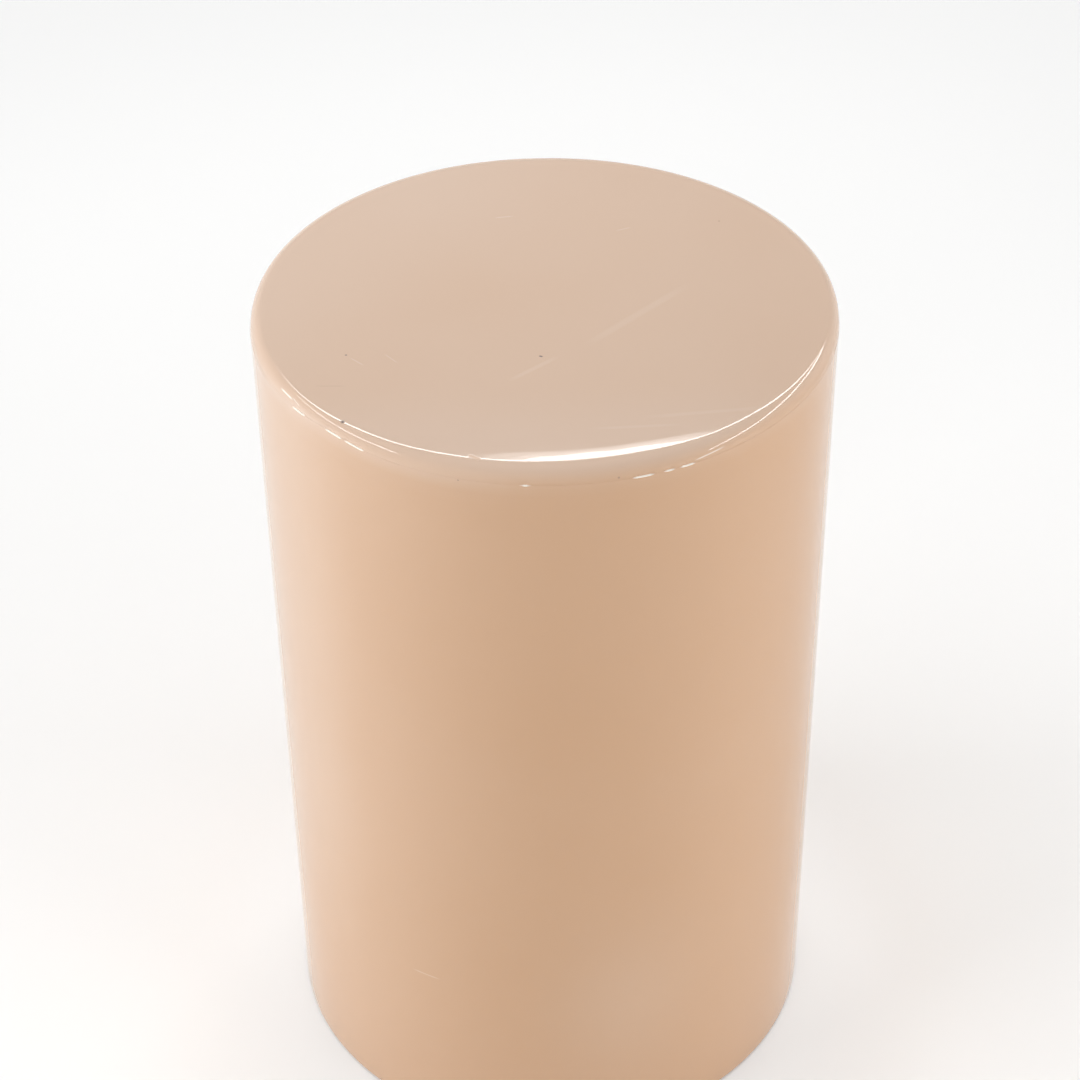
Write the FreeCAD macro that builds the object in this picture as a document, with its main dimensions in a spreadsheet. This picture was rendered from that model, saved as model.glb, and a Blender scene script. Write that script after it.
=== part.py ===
import FreeCAD
import Part
import Sketcher
import os

# Pedestal side table: a straight drum of two bent plywood skins over notched
# former rings and posts, closed by a rounded top and a recessed base panel.
# The frame's origin is on the floor at the drum's axis, +Z is up, -Y is the front.

# Driving sizes in millimetres: name, value, what it measures.
SIZES = (
    ("drum_diameter", 360, "outside of the lacquered wall"),
    ("drum_height", 560, "lower edge of the wall to the top's upper face"),
    ("floor_gap", 1.5, "floor to the lower edge of the wall"),
    ("edge_radius", 12.7, "quarter-round along the top's upper edge"),
    ("edge_land", 0.3, "short upright below the quarter-round"),
    ("joint_ledge", 0.4, "wall's step out past the top's edge"),
    ("wall_ease", 0.25, "round on the wall's upper arris"),
    ("foot_ease", 1.5, "round on the wall's lower arris"),
    ("outer_skin_thickness", 5, "outer bent sheet"),
    ("inner_skin_thickness", 5, "inner bent sheet"),
    ("seam_gap", 1, "butt seam of the inner sheet"),
    ("spigot_depth", 9, "part of the top that drops inside the wall"),
    ("spigot_clearance", 0.3, "spigot to the wall, on the radius"),
    ("spigot_lead", 1, "chamfer that leads the spigot in"),
    ("ring_thickness", 18, "former rings"),
    ("ring_web", 21, "ring left behind each post's notch"),
    ("post_width", 32, "across each post, along the wall"),
    ("post_depth", 24, "each post, from the wall inwards"),
    ("notch_clearance", 0.2, "post to each face of its notch"),
    ("base_thickness", 12, "base panel"),
    ("base_clearance", 0.3, "base panel to the wall, on the radius"),
    ("screw_diameter", 4, "shank of the wood screws"),
    ("screw_head_diameter", 8, "countersunk head of the wood screws"),
    ("screw_sink", 0.5, "head's face below the wood around it"),
    ("screw_cover", 5, "wood left beyond a screw's tip"),
    ("screw_clearance", 0.1, "screw to its hole, on the radius"),
    ("pilot_room", 1, "pilot hole past the screw's tip"),
    ("glide_diameter", 24, "upper face of each glide"),
    ("glide_taper", 1.5, "how far the glide's foot draws in, on the radius"),
    ("glide_ease", 1.2, "round on the glide's foot"),
    ("glide_inset", 24, "wall's inner face to the middle of a glide"),
    ("glide_web", 2.25, "glide left above its screw's head"),
    ("glide_screw_recess", 1.5, "floor to the glide screw's head"),
    ("glide_screw_diameter", 3.5, "shank of the glide screws"),
    ("glide_screw_head_diameter", 7, "countersunk head of the glide screws"),
    ("cut_overrun", 2, "how far every cut runs past the face it opens"),
)

# A screw's point is this many times its shank's diameter long.
SCREW_POINT_SHARE = 1.25

# The four posts and glides stand at these quarter turns from +X.
QUARTERS = {"right": 0, "back": 1, "left": 2, "front": 3}
QUARTER_TURN = 360 / len(QUARTERS)

# Sizes that follow from the driving ones, as expressions in the sheet's names.
DRUM_RADIUS = "(Sizes.drum_diameter / 2)"
SKIN_JOINT_RADIUS = f"({DRUM_RADIUS} - Sizes.outer_skin_thickness)"
RING_RADIUS = f"({SKIN_JOINT_RADIUS} - Sizes.inner_skin_thickness)"
FLANGE_HEIGHT = "(Sizes.edge_radius + Sizes.edge_land)"
TOP_THICKNESS = f"({FLANGE_HEIGHT} + Sizes.spigot_depth)"
WALL_HEIGHT = f"(Sizes.drum_height - {FLANGE_HEIGHT})"
POST_FACE_RADIUS = f"({RING_RADIUS} - Sizes.post_depth)"
NOTCH_RADIUS = f"({POST_FACE_RADIUS} - Sizes.notch_clearance)"
RING_BORE_RADIUS = f"({POST_FACE_RADIUS} - Sizes.ring_web)"
SCREW_CIRCLE = f"(({RING_RADIUS} + {RING_BORE_RADIUS}) / 2)"
GLIDE_CIRCLE = f"({RING_RADIUS} - Sizes.glide_inset)"
HEAD_HEIGHT = "((Sizes.screw_head_diameter - Sizes.screw_diameter) / 2)"
GLIDE_HEAD_HEIGHT = "((Sizes.glide_screw_head_diameter - Sizes.glide_screw_diameter) / 2)"
GLIDE_HEIGHT = f"(Sizes.glide_screw_recess + {GLIDE_HEAD_HEIGHT} + Sizes.glide_web)"
TOP_BITE = f"({TOP_THICKNESS} - Sizes.screw_cover)"
RING_BITE = "(Sizes.ring_thickness - Sizes.screw_cover)"
POST_BITE = "(Sizes.ring_web - Sizes.screw_cover)"
BASE_BITE = "(Sizes.base_thickness - Sizes.screw_cover)"

# Heights above the floor.
WALL_FOOT_Z = "Sizes.floor_gap"
TOP_Z = f"(Sizes.floor_gap + Sizes.drum_height - {TOP_THICKNESS})"
BASE_Z = GLIDE_HEIGHT
LOWER_RING_Z = f"({BASE_Z} + Sizes.base_thickness)"
UPPER_RING_Z = f"({TOP_Z} - Sizes.ring_thickness)"
MIDDLE_RING_Z = f"(({LOWER_RING_Z} + {UPPER_RING_Z}) / 2)"
POST_LENGTH = f"({TOP_Z} - {LOWER_RING_Z})"

doc = FreeCAD.newDocument("PedestalSideTable")


def fill_sheet():
    """Put every driving size in the sheet, one row each, with its name as the alias."""
    sheet = doc.addObject("Spreadsheet::Sheet", "Sizes")
    for row, (name, size, meaning) in enumerate(SIZES, start=1):
        sheet.set(f"A{row}", name)
        sheet.set(f"B{row}", str(size))
        sheet.setAlias(f"B{row}", name)
        sheet.set(f"C{row}", meaning)
    doc.recompute()
    return sheet


sheet = fill_sheet()


def value(expression):
    """Current value of an expression in the sheet's names."""
    return float(sheet.evalExpression(expression))


def new_body(name, height="0"):
    """A body that is drawn from z = 0 and placed at its height above the floor."""
    body = doc.addObject("PartDesign::Body", name)
    body.Label = name
    body.setExpression("Placement.Base.z", height)
    return body


def origin_feature(body, role):
    return next(item for item in body.Origin.OriginFeatures if item.Role == role)


def new_sketch(body, name, role, turn=0):
    """A sketch on one of the body's origin planes, turned about the drum's axis by so many degrees."""
    sketch = body.newObject("Sketcher::SketchObject", name)
    sketch.AttachmentSupport = [(origin_feature(body, role), "")]
    sketch.MapMode = "FlatFace"
    upright = FreeCAD.Vector(0, 0, 1) if role == "XY_Plane" else FreeCAD.Vector(0, 1, 0)
    sketch.AttachmentOffset = FreeCAD.Placement(FreeCAD.Vector(), FreeCAD.Rotation(upright, turn))
    return sketch


def pin_point(sketch, curve, end, x, y):
    """Tie one end of a curve to the sketch's origin by two expressions."""
    for kind, axis, expression in (("DistanceX", -2, x), ("DistanceY", -1, y)):
        if expression == "0":
            sketch.addConstraint(Sketcher.Constraint("PointOnObject", curve, end, axis))
        else:
            rule = Sketcher.Constraint(kind, -1, 1, curve, end, value(expression))
            sketch.setExpression(f"Constraints[{sketch.addConstraint(rule)}]", expression)


def draw_line(sketch, start, end, construction=False):
    points = [FreeCAD.Vector(value(x), value(y), 0) for x, y in (start, end)]
    return sketch.addGeometry(Part.LineSegment(*points), construction)


def draw_outline(sketch, corners):
    """Closed outline of straight lines through corners given as pairs of expressions."""
    following = corners[1:] + corners[:1]
    lines = [draw_line(sketch, *ends) for ends in zip(corners, following)]
    for line, after in zip(lines, lines[1:] + lines[:1]):
        sketch.addConstraint(Sketcher.Constraint("Coincident", line, 2, after, 1))
    for line, (x, y) in zip(lines, corners):
        pin_point(sketch, line, 1, x, y)


def spin(body, kind, name, corners, axis=None, turn=0):
    """Turn an outline in the upright plane about the drum's axis, or about a line of its own."""
    sketch = new_sketch(body, f"{name}_outline", "XZ_Plane", turn)
    draw_outline(sketch, corners)
    reference = "V_Axis"
    if axis:
        line = draw_line(sketch, *axis, construction=True)
        for end, (x, y) in enumerate(axis, start=1):
            pin_point(sketch, line, end, x, y)
        reference = "Axis0"
    feature = body.newObject(f"PartDesign::{kind}", name)
    feature.Profile = sketch
    feature.ReferenceAxis = (sketch, [reference])
    feature.Angle = 360
    doc.recompute()
    return feature


def check_cut(body, volume, name):
    if not body.Shape.Volume < volume:
        raise RuntimeError(f"{name} cuts nothing")


def bore(body, name, corners, axis, turn=0):
    """Groove one hole out of a body by its half outline."""
    volume = body.Shape.Volume
    feature = spin(body, "Groove", name, corners, axis, turn)
    check_cut(body, volume, name)
    return feature


def cut_through(body, name, corners):
    """Pocket an outline in the level plane right through a body."""
    volume = body.Shape.Volume
    sketch = new_sketch(body, f"{name}_outline", "XY_Plane")
    draw_outline(sketch, corners)
    feature = body.newObject("PartDesign::Pocket", name)
    feature.Profile = sketch
    feature.Type = "ThroughAll"
    feature.Midplane = True
    doc.recompute()
    check_cut(body, volume, name)
    return feature


def repeat_quarters(body, name, features):
    """Repeat features at the four quarters of the drum."""
    pattern = body.newObject("PartDesign::PolarPattern", name)
    pattern.Originals = features
    pattern.Axis = (origin_feature(body, "Z_Axis"), [""])
    pattern.Angle = 360
    pattern.Occurrences = len(QUARTERS)
    body.Tip = pattern
    doc.recompute()


def edge_names(base, radius, height):
    """Names of a feature's level round edges of one radius at one height."""
    shape = base.Shape
    tolerance = shape.getTolerance(1)
    names = []
    for number, edge in enumerate(shape.Edges, start=1):
        level = abs(edge.BoundBox.ZMin - height) + abs(edge.BoundBox.ZMax - height) <= 2 * tolerance
        circle = isinstance(edge.Curve, Part.Circle)
        if level and circle and abs(edge.Curve.Radius - radius) <= tolerance:
            names.append(f"Edge{number}")
    if not names:
        raise RuntimeError(f"{base.Label} has no edge of radius {radius} at height {height}")
    return names


def ease(body, kind, name, radius, height, size):
    """Fillet or chamfer the level round edge at a radius and height given as expressions."""
    base = body.Tip
    names = edge_names(base, value(radius), value(height))
    feature = body.newObject(f"PartDesign::{kind}", name)
    feature.Base = (base, names)
    setting = "Radius" if kind == "Fillet" else "Size"
    setattr(feature, setting, value(size))
    feature.setExpression(setting, size)
    doc.recompute()


def half_box(inner, outer, low, high):
    """Half outline of a plain turned piece between two radii and two heights."""
    return [(inner, low), (outer, low), (outer, high), (inner, high)]


def upright_line(radius):
    return ((radius, "-Sizes.cut_overrun"), (radius, "Sizes.cut_overrun"))


def screw_hole(body, name, circle, thickness, turn=0):
    """Countersunk hole up through a board for a wood screw driven from below."""
    shank = f"({circle} + Sizes.screw_diameter / 2 + Sizes.screw_clearance)"
    head = f"({circle} + Sizes.screw_head_diameter / 2 + Sizes.screw_clearance)"
    corners = [
        (circle, "-Sizes.cut_overrun"),
        (head, "-Sizes.cut_overrun"),
        (head, "Sizes.screw_sink"),
        (shank, f"Sizes.screw_sink + {HEAD_HEIGHT}"),
        (shank, f"{thickness} + Sizes.cut_overrun"),
        (circle, f"{thickness} + Sizes.cut_overrun"),
    ]
    return bore(body, name, corners, upright_line(circle), turn)


def pilot_hole(body, name, circle, diameter, bite, turn=0):
    """Blind hole up into a board from below for the end of a screw."""
    side = f"({circle} + {diameter} / 2 + Sizes.screw_clearance)"
    corners = half_box(circle, side, "-Sizes.cut_overrun", f"{bite} + Sizes.pilot_room")
    return bore(body, name, corners, upright_line(circle), turn)


def screw_outline(along, diameter, head_diameter, length):
    """Half outline of a countersunk screw; along(run, side) gives the corner that lies
    so far from the head's face and so far from the screw's axis."""
    head_height = f"(({head_diameter} - {diameter}) / 2)"
    point = f"({length} - {SCREW_POINT_SHARE} * {diameter})"
    return [
        along("0", "0"),
        along("0", f"{head_diameter} / 2"),
        along(head_height, f"{diameter} / 2"),
        along(point, f"{diameter} / 2"),
        along(length, "0"),
    ]


def upright_screws(name, height, circle, diameter, head_diameter, length, turn=0):
    """Four screws that stand on a circle with their heads down."""
    body = new_body(name, height)
    corners = screw_outline(lambda run, side: (f"{circle} + {side}", run), diameter, head_diameter, length)
    screw = spin(body, "Revolution", "screw", corners, upright_line(circle), turn)
    repeat_quarters(body, "screw_circle", [screw])


def make_top_panel():
    """Lacquered top: a round-edged flange on the wall, with a spigot that drops inside it."""
    body = new_body("top_panel", TOP_Z)
    edge = f"({DRUM_RADIUS} - Sizes.joint_ledge)"
    spigot = f"({RING_RADIUS} - Sizes.spigot_clearance)"
    corners = [
        ("0", "0"),
        (spigot, "0"),
        (spigot, "Sizes.spigot_depth"),
        (edge, "Sizes.spigot_depth"),
        (edge, TOP_THICKNESS),
        ("0", TOP_THICKNESS),
    ]
    spin(body, "Revolution", "disc", corners)
    ease(body, "Fillet", "rounded_edge", edge, TOP_THICKNESS, "Sizes.edge_radius")
    ease(body, "Chamfer", "spigot_chamfer", spigot, "0", "Sizes.spigot_lead")
    pilot = pilot_hole(body, "pilot", SCREW_CIRCLE, "Sizes.screw_diameter", TOP_BITE, QUARTER_TURN / 2)
    repeat_quarters(body, "pilots", [pilot])


def make_outer_skin():
    """Lacquered outer sheet, bent to a full ring, with both arrises eased."""
    body = new_body("outer_skin", WALL_FOOT_Z)
    spin(body, "Revolution", "sheet", half_box(SKIN_JOINT_RADIUS, DRUM_RADIUS, "0", WALL_HEIGHT))
    ease(body, "Fillet", "upper_arris", DRUM_RADIUS, WALL_HEIGHT, "Sizes.wall_ease")
    ease(body, "Fillet", "lower_arris", DRUM_RADIUS, "0", "Sizes.foot_ease")


def make_inner_skin():
    """Inner sheet, bent round the rings, with its butt seam over the back post."""
    body = new_body("inner_skin", WALL_FOOT_Z)
    spin(body, "Revolution", "sheet", half_box(RING_RADIUS, SKIN_JOINT_RADIUS, "0", WALL_HEIGHT))
    seam = half_box(
        "-Sizes.seam_gap / 2",
        "Sizes.seam_gap / 2",
        f"{RING_RADIUS} - Sizes.cut_overrun",
        f"{SKIN_JOINT_RADIUS} + Sizes.cut_overrun",
    )
    cut_through(body, "seam", seam)


def make_ring(name, height, hole=None):
    """Former ring with a notch and a radial pilot hole for each post, and a hole between each two."""
    body = new_body(name, height)
    spin(body, "Revolution", "ring", half_box(RING_BORE_RADIUS, RING_RADIUS, "0", "Sizes.ring_thickness"))
    half_notch = "(Sizes.post_width / 2 + Sizes.notch_clearance)"
    notch = half_box(NOTCH_RADIUS, f"{RING_RADIUS} + Sizes.cut_overrun", f"-{half_notch}", half_notch)
    notch_cut = cut_through(body, "notch", notch)
    repeat_quarters(body, "notches", [notch_cut])
    middle = "(Sizes.ring_thickness / 2)"
    pilot_end = f"({POST_FACE_RADIUS} - {POST_BITE} - Sizes.pilot_room)"
    pilot_mouth = f"({POST_FACE_RADIUS} + Sizes.cut_overrun)"
    pilot_side = f"({middle} + Sizes.screw_diameter / 2 + Sizes.screw_clearance)"
    corners = half_box(pilot_end, pilot_mouth, middle, pilot_side)
    pilot = bore(body, "post_pilot", corners, ((pilot_end, middle), (pilot_mouth, middle)))
    repeat_quarters(body, "post_pilots", [pilot])
    if hole == "through":
        between = screw_hole(body, "screw_hole", SCREW_CIRCLE, "Sizes.ring_thickness", QUARTER_TURN / 2)
        repeat_quarters(body, "screw_holes", [between])
    if hole == "pilot":
        between = pilot_hole(body, "pilot", SCREW_CIRCLE, "Sizes.screw_diameter", RING_BITE, QUARTER_TURN / 2)
        repeat_quarters(body, "pilots", [between])


def ring_heights_on_post():
    """Middle of each ring, measured up from a post's foot."""
    return {
        "lower": "(Sizes.ring_thickness / 2)",
        "middle": f"({POST_LENGTH} / 2)",
        "upper": f"({POST_LENGTH} - Sizes.ring_thickness / 2)",
    }


def make_post(name, turn):
    """Batten let into the rings, its outer face planed to the wall's curve, with a screw hole at each ring."""
    body = new_body(name, LOWER_RING_Z)
    body.Placement = FreeCAD.Placement(body.Placement.Base, FreeCAD.Rotation(FreeCAD.Vector(0, 0, 1), turn))
    sketch = new_sketch(body, "post_outline", "XY_Plane")
    half_width = value("Sizes.post_width") / 2
    radius = value(RING_RADIUS)
    side_end = str((radius ** 2 - half_width ** 2) ** 0.5)
    low = (POST_FACE_RADIUS, "-Sizes.post_width / 2")
    high = (POST_FACE_RADIUS, "Sizes.post_width / 2")
    flat = draw_line(sketch, high, low)
    low_side = draw_line(sketch, low, (side_end, low[1]))
    high_side = draw_line(sketch, (side_end, high[1]), high)
    swing = FreeCAD.Vector(float(side_end), half_width, 0).getAngle(FreeCAD.Vector(1, 0, 0))
    circle = Part.Circle(FreeCAD.Vector(), FreeCAD.Vector(0, 0, 1), radius)
    face = sketch.addGeometry(Part.ArcOfCircle(circle, -swing, swing))
    for first, end, second, start in ((flat, 2, low_side, 1), (low_side, 2, face, 1),
                                      (face, 2, high_side, 1), (high_side, 2, flat, 1)):
        sketch.addConstraint(Sketcher.Constraint("Coincident", first, end, second, start))
    sketch.addConstraint(Sketcher.Constraint("Coincident", face, 3, -1, 1))
    rule = sketch.addConstraint(Sketcher.Constraint("Radius", face, radius))
    sketch.setExpression(f"Constraints[{rule}]", RING_RADIUS)
    for side in (low_side, high_side):
        sketch.addConstraint(Sketcher.Constraint("Horizontal", side))
    pin_point(sketch, flat, 1, *high)
    pin_point(sketch, flat, 2, *low)
    pad = body.newObject("PartDesign::Pad", "batten")
    pad.Profile = sketch
    pad.setExpression("Length", POST_LENGTH)
    doc.recompute()
    mouth = f"({RING_RADIUS} + Sizes.cut_overrun)"
    head_face = f"({RING_RADIUS} - Sizes.screw_sink)"
    inside = f"({POST_FACE_RADIUS} - Sizes.cut_overrun)"
    for ring, middle in ring_heights_on_post().items():
        head = f"({middle} + Sizes.screw_head_diameter / 2 + Sizes.screw_clearance)"
        shank = f"({middle} + Sizes.screw_diameter / 2 + Sizes.screw_clearance)"
        corners = [
            (inside, middle),
            (inside, shank),
            (f"{head_face} - {HEAD_HEIGHT}", shank),
            (head_face, head),
            (mouth, head),
            (mouth, middle),
        ]
        bore(body, f"{ring}_screw_hole", corners, ((inside, middle), (mouth, middle)))


def make_post_screws():
    """One screw at each crossing of a post and a ring, its head sunk below the post's outer face."""
    body = new_body("post_screws", LOWER_RING_Z)
    head_face = f"({RING_RADIUS} - Sizes.screw_sink)"
    length = f"(Sizes.post_depth - Sizes.screw_sink + {POST_BITE})"
    screws = []
    for ring, middle in ring_heights_on_post().items():
        corners = screw_outline(
            lambda run, side: (f"{head_face} - {run}", f"{middle} + {side}"),
            "Sizes.screw_diameter",
            "Sizes.screw_head_diameter",
            length,
        )
        axis = ((f"{head_face} - {length}", middle), (head_face, middle))
        screws.append(spin(body, "Revolution", f"{ring}_screw", corners, axis))
    repeat_quarters(body, "screws", screws)


def make_base_panel():
    """Round board inside the wall's foot, screwed up to the lower ring, with the glides' pilot holes."""
    body = new_body("base_panel", BASE_Z)
    edge = f"({RING_RADIUS} - Sizes.base_clearance)"
    spin(body, "Revolution", "disc", half_box("0", edge, "0", "Sizes.base_thickness"))
    hole = screw_hole(body, "screw_hole", SCREW_CIRCLE, "Sizes.base_thickness", QUARTER_TURN / 2)
    repeat_quarters(body, "screw_holes", [hole])
    pilot = pilot_hole(body, "glide_pilot", GLIDE_CIRCLE, "Sizes.glide_screw_diameter", BASE_BITE)
    repeat_quarters(body, "glide_pilots", [pilot])


def make_glide(name, turn):
    """Low round glide with a tapered side, an eased foot and a countersunk hole."""
    body = new_body(name)
    rotation = FreeCAD.Rotation(FreeCAD.Vector(0, 0, 1), turn)
    centre = rotation.multVec(FreeCAD.Vector(value(GLIDE_CIRCLE), 0, 0))
    body.Placement = FreeCAD.Placement(centre, rotation)
    body.setExpression("Placement.Base.x", f"{GLIDE_CIRCLE} * cos({turn} deg)")
    body.setExpression("Placement.Base.y", f"{GLIDE_CIRCLE} * sin({turn} deg)")
    foot = "(Sizes.glide_diameter / 2 - Sizes.glide_taper)"
    shank = "(Sizes.glide_screw_diameter / 2 + Sizes.screw_clearance)"
    head = "(Sizes.glide_screw_head_diameter / 2 + Sizes.screw_clearance)"
    corners = [
        (head, "0"),
        (foot, "0"),
        ("Sizes.glide_diameter / 2", GLIDE_HEIGHT),
        (shank, GLIDE_HEIGHT),
        (shank, f"Sizes.glide_screw_recess + {GLIDE_HEAD_HEIGHT}"),
        (head, "Sizes.glide_screw_recess"),
    ]
    spin(body, "Revolution", "button", corners)
    ease(body, "Fillet", "foot_edge", foot, "0", "Sizes.glide_ease")


def check_document():
    """Stop if any object failed or any piece is empty or not valid."""
    for item in doc.Objects:
        if {"Invalid", "Error"} & set(item.State):
            raise RuntimeError(f"{item.Label} failed: {item.State}")
    for body in bodies():
        if body.Shape.isNull() or not body.Shape.isValid() or not body.Shape.Solids:
            raise RuntimeError(f"{body.Label} has no valid shape")


def bodies():
    return [item for item in doc.Objects if item.TypeId == "PartDesign::Body"]


make_top_panel()
make_outer_skin()
make_inner_skin()
make_ring("upper_ring", UPPER_RING_Z, hole="through")
make_ring("middle_ring", MIDDLE_RING_Z)
make_ring("lower_ring", LOWER_RING_Z, hole="pilot")
make_base_panel()
for place, quarter in QUARTERS.items():
    make_post(f"post_{place}", quarter * QUARTER_TURN)
    make_glide(f"glide_{place}", quarter * QUARTER_TURN)
make_post_screws()
upright_screws(
    "top_screws",
    f"{UPPER_RING_Z} + Sizes.screw_sink",
    SCREW_CIRCLE,
    "Sizes.screw_diameter",
    "Sizes.screw_head_diameter",
    f"(Sizes.ring_thickness - Sizes.screw_sink + {TOP_BITE})",
    QUARTER_TURN / 2,
)
upright_screws(
    "base_screws",
    f"{BASE_Z} + Sizes.screw_sink",
    SCREW_CIRCLE,
    "Sizes.screw_diameter",
    "Sizes.screw_head_diameter",
    f"(Sizes.base_thickness - Sizes.screw_sink + {RING_BITE})",
    QUARTER_TURN / 2,
)
upright_screws(
    "glide_screws",
    "Sizes.glide_screw_recess",
    GLIDE_CIRCLE,
    "Sizes.glide_screw_diameter",
    "Sizes.glide_screw_head_diameter",
    f"({GLIDE_HEAD_HEIGHT} + Sizes.glide_web + {BASE_BITE})",
)
doc.recompute()
check_document()

os.makedirs("parts", exist_ok=True)
for body in bodies():
    body.Shape.exportStep(f"parts/{body.Label}.step")
    print(body.Label, len(body.Shape.Solids), round(body.Shape.Volume), body.Shape.BoundBox)
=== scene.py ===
import bpy
import numpy as np
from bpy.props import FloatProperty, FloatVectorProperty, IntProperty, PointerProperty
from mathutils import Matrix, Vector


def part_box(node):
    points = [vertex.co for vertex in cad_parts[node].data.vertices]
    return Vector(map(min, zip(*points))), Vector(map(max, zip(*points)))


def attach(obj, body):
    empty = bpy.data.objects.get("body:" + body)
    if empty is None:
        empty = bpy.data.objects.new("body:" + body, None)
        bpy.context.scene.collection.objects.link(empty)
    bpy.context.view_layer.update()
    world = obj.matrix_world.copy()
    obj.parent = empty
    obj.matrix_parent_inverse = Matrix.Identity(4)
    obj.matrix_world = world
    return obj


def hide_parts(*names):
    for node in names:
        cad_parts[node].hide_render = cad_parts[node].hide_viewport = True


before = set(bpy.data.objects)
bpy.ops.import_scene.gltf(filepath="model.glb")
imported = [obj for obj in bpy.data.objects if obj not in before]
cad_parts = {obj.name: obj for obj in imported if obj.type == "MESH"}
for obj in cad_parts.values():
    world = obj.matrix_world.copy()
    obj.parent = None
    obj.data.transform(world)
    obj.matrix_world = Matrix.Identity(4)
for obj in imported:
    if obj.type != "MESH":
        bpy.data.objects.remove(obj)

bl_info = {
    "name": "Drum side table",
    "version": (1, 0, 0),
    "blender": (4, 5, 0),
    "location": "View3D > Sidebar > Drum table",
    "description": "Lacquer skin, screws, finishes and studio for a round pedestal side table",
    "category": "Add Mesh",
}

MM = 0.001
FULL_TURN = 2.0 * np.pi
QUARTER_TURN = 0.5 * np.pi
UP = (0.0, 0.0, 1.0)
WHITE = (1.0, 1.0, 1.0, 1.0)
SENSOR_WIDTH = 36.0
# Edges sharper than these angles in degrees stay sharp, on the drum and on the screws.
SHARP = 35.0
SCREW_SHARP = 32.0
# Rows of points down the face, the roll and the round of the top, and the crown, side and foot of the wall.
FACE_ROWS = 30
ROLL_ROWS = 22
ROUND_ROWS = 44
CROWN_ROWS = 14
SIDE_ROWS = 66
FOOT_ROWS = 6
# Innermost row of the face and first row of the side, as shares of the way out and of the way down.
FACE_START = 0.04
SIDE_START = 0.0003
# How far down the round, as shares, it tucks in over a standing arris and takes on the shade of the wall.
TUCK_START = 0.55
SHADE_START = 0.25
# Chamfer on the foot of the spigot, and the rows across its underside, from its edge inwards.
SPIGOT_LEAD = 0.001
UNDERSIDE = (0.06, 0.12)
# Height of the wall's crown against its width, and how near the foot and the joint its waves die out.
CROWN_RISE = 0.9
FOOT_CALM = 0.01
JOINT_CALM = 0.02
# Slow waves in the wall: the turns around, the wavelength up, the phase and the share of each.
WALL_WAVES = ((2, 1.9, 0.4, 0.5), (5, -0.8, 1.7, 0.25), (9, 0.45, 2.9, 0.15), (14, -0.31, 0.8, 0.1))

# Each table below pairs an azimuth in degrees (0 = right, 90 = back, 270 = front) with a size in millimetres.
# The round of the top edge is shaped as listed: it is fuller at the front than at the sides.
ROUND_WIDTH = (
    (0, 7.0), (45, 10.0), (90, 12.7), (135, 10.0), (180, 7.5), (205, 6.4), (216, 5.3), (224, 5.6),
    (232, 6.4), (241, 6.5), (250, 7.9), (260, 9.2), (270, 10.3), (280, 10.8), (288, 10.4),
    (294, 8.8), (303, 7.0), (312, 7.2), (325, 6.2), (340, 5.8),
)
ROUND_DEPTH = (
    (0, 10.5), (45, 12.0), (90, 12.7), (135, 12.0), (180, 11.0), (205, 9.0), (213, 7.6), (218, 7.2),
    (224, 6.2), (229, 7.0), (235, 8.6), (241, 9.4), (266, 10.2), (290, 10.5), (298, 10.6),
    (320, 10.5),
)
# How far the face of the top rolls down towards its edge.
EDGE_DROOP = (
    (258, 0.0), (263, 0.10), (267, 0.32), (270, 0.45), (273, 0.48), (278, 0.70), (283, 0.55), (288, 0.62),
    (295, 0.39), (304, 0.10), (310, 0.0),
)
# Spans of azimuth where the arris of the wall stands out below the round and is painted pale as a glint,
# and the width of the step at each end, all in degrees.
GLINT_SPANS = (
    (215.2, 219.2), (225.4, 229.4), (230.3, 234.7), (265.6, 266.9), (285.9, 289.6), (291.9, 293.7),
    (295.1, 297.8),
)
SPAN_STEP = 0.6

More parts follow.
